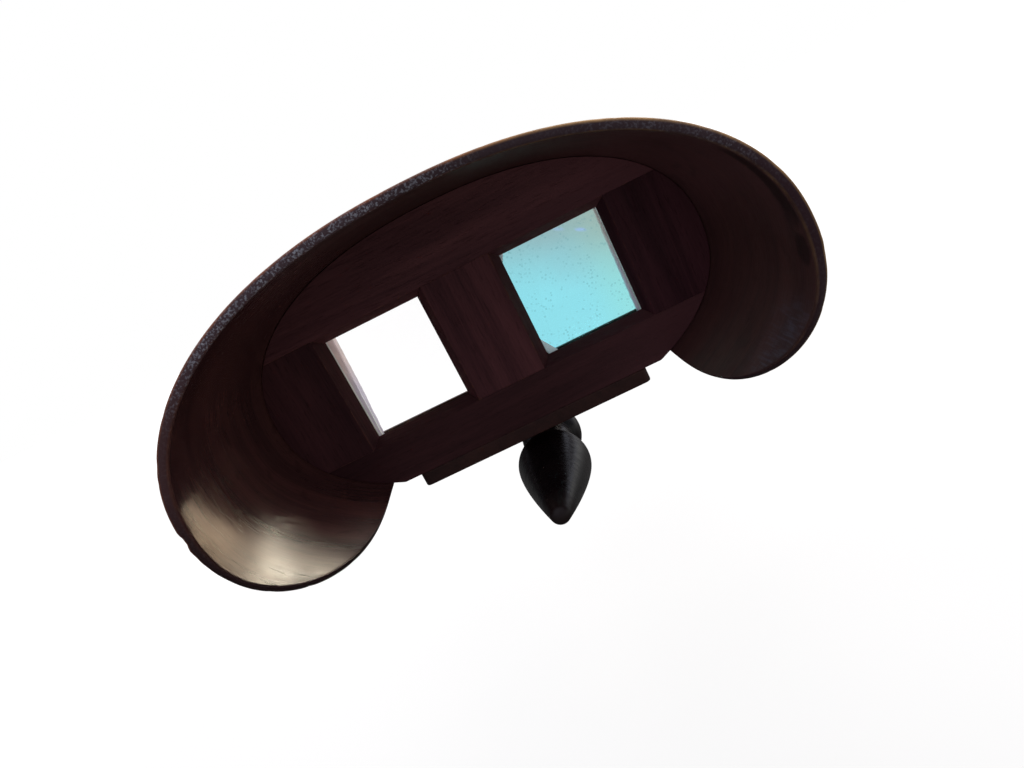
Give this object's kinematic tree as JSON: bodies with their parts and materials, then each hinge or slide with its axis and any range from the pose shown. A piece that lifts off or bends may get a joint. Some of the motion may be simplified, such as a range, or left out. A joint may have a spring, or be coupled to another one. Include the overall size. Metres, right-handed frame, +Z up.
{
  "type": "stereoscope",
  "caption": "Folding hand stereoscope: wooden hood, framed half lenses, shaft with a sliding card bar and wire clips, and a turned handle folded beneath.",
  "frame": {"origin": "on the surface under the folded handle, at the middle of the part's length and width", "axes": "+Y along the shaft away from the eyes, +Z up, +X to the viewer's right"},
  "size_m": [0.178, 0.3218, 0.1256],
  "materials": {
    "hood_wood": "dark satin varnish over bent veneer, worn at the rim",
    "frame_wood": "dark reddish-brown satin varnish",
    "clear_glass": "polished, ground edges",
    "tinted_glass": "polished, pale cyan, ground edges",
    "inner_wood": "thin dark varnish",
    "base_wood": "dark reddish-brown satin varnish",
    "bar_wood": "dark reddish-brown satin varnish",
    "black_lacquer": "turned and black lacquered, worn brown at the tip",
    "dark_iron": "blackened iron",
    "brass": "aged brass",
    "steel": "dull steel"
  },
  "bodies": {
    "viewer": {"hood": "hood_wood", "top_rail": "frame_wood", "bottom_rail": "frame_wood", "left_stile": "frame_wood", "centre_stile": "frame_wood", "right_stile": "frame_wood", "left_lens": "clear_glass", "right_lens": "tinted_glass", "left_top_bead": "inner_wood", "left_bottom_bead": "inner_wood", "left_inner_bead": "inner_wood", "left_outer_bead": "inner_wood", "right_top_bead": "inner_wood", "right_bottom_bead": "inner_wood", "right_inner_bead": "inner_wood", "right_outer_bead": "inner_wood", "base_board": "base_wood", "shaft": "base_wood", "hood_nails": "dark_iron", "hinge_bracket": "dark_iron", "bead_pins": "brass", "stop_stud": "brass", "board_screws": "steel", "shaft_screws": "steel", "bracket_screws": "steel", "hinge_pin": "steel"},
    "folding_handle": {"handle_ferrule": "dark_iron", "handle_grip": "black_lacquer"},
    "card_carriage": {"card_bar": "bar_wood", "left_front_wire": "steel", "left_back_wire": "steel", "right_front_wire": "steel", "right_back_wire": "steel", "slide_spring": "brass", "spring_screw": "brass"}
  },
  "joints": [
    {"name": "handle_fold", "type": "hinge", "parent": "viewer", "child": "folding_handle", "pos_m": [0, -0.0201, 0.01035], "axis": [1, 0, 0], "range_deg": [0, 95]},
    {"name": "card_slide", "type": "slide", "parent": "viewer", "child": "card_carriage", "axis": [0, 1, 0], "range_m": [-0.004, 0.132]}
  ]
}
